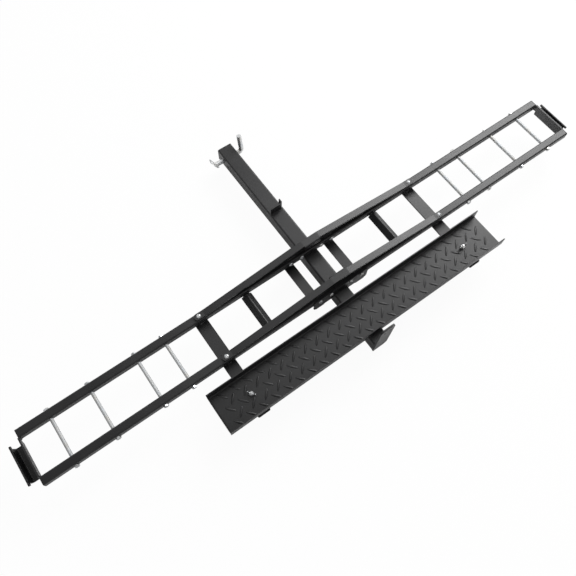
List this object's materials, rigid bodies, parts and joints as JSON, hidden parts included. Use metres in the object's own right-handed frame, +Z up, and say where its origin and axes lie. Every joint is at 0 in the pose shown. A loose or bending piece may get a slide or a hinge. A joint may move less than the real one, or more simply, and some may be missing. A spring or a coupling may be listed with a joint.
{
  "type": "hitch motorcycle carrier",
  "caption": "Black steel motorcycle carrier on a square hitch shank: a long two-rail wheel track with end hooks, raised bows, bright cross rods and a bolted loading ramp.",
  "frame": {"origin": "centre of the hitch pin hole, in the middle of the square shank", "axes": "+Y along the shank towards the vehicle, +X along the wheel track, +Z up"},
  "size_m": [1.9796, 0.8412, 0.1632],
  "materials": {
    "powder_coat": "satin",
    "zinc": "satin",
    "plugs": "matte"
  },
  "bodies": {
    "frame": {"hitch_tube": "powder_coat", "tube_stop": "powder_coat", "end_plate": "powder_coat", "cradle_plate_far": "powder_coat", "cradle_plate_near": "powder_coat", "cross_bar_left": "powder_coat", "cross_bar_right": "powder_coat", "rail_pads": "powder_coat", "rail_far_left": "powder_coat", "rail_far_right": "powder_coat", "rail_near_left": "powder_coat", "rail_near_right": "powder_coat", "rail_end_caps": "plugs", "bow_far": "powder_coat", "bow_near": "powder_coat", "rung_left": "powder_coat", "rung_right": "powder_coat", "cross_rods_left": "zinc", "cross_rods_right": "zinc", "rod_nuts_far": "zinc", "rod_nuts_near": "zinc", "cradle_bolts_far": "zinc", "cradle_bolts_near": "zinc", "cradle_nuts": "zinc", "end_hook_left": "powder_coat", "end_hook_right": "powder_coat", "ramp_arm_left": "powder_coat", "ramp_arm_right": "powder_coat", "arm_spacers": "zinc", "joint_bolts": "zinc", "joint_nuts": "zinc", "ramp_studs": "zinc", "stud_nuts": "zinc"},
    "pin": {"hitch_pin": "zinc"},
    "clip": {"pin_clip": "zinc"},
    "ramp": {"ramp": "powder_coat"},
    "nut_left": {"wing_nut_left": "zinc"},
    "nut_right": {"wing_nut_right": "zinc"}
  },
  "joints": [
    {"name": "pin_slide", "type": "slide", "parent": "frame", "child": "pin", "axis": [1, 0, 0], "range_m": [-0.008, 0.024]},
    {"name": "clip_slide", "type": "slide", "parent": "pin", "child": "clip", "axis": [0, 0.9063, -0.4226], "range_m": [0, 0.07]},
    {"name": "ramp_lift", "type": "slide", "parent": "frame", "child": "ramp", "axis": [0, 0, 1], "range_m": [0, 0.25]},
    {"name": "nut_left_turn", "type": "hinge", "parent": "ramp", "child": "nut_left", "pos_m": [-0.391, -0.7067, 0.0284], "axis": [0, 0, 1], "continuous": true},
    {"name": "nut_right_turn", "type": "hinge", "parent": "ramp", "child": "nut_right", "pos_m": [0.391, -0.7067, 0.0284], "axis": [0, 0, 1], "continuous": true}
  ]
}
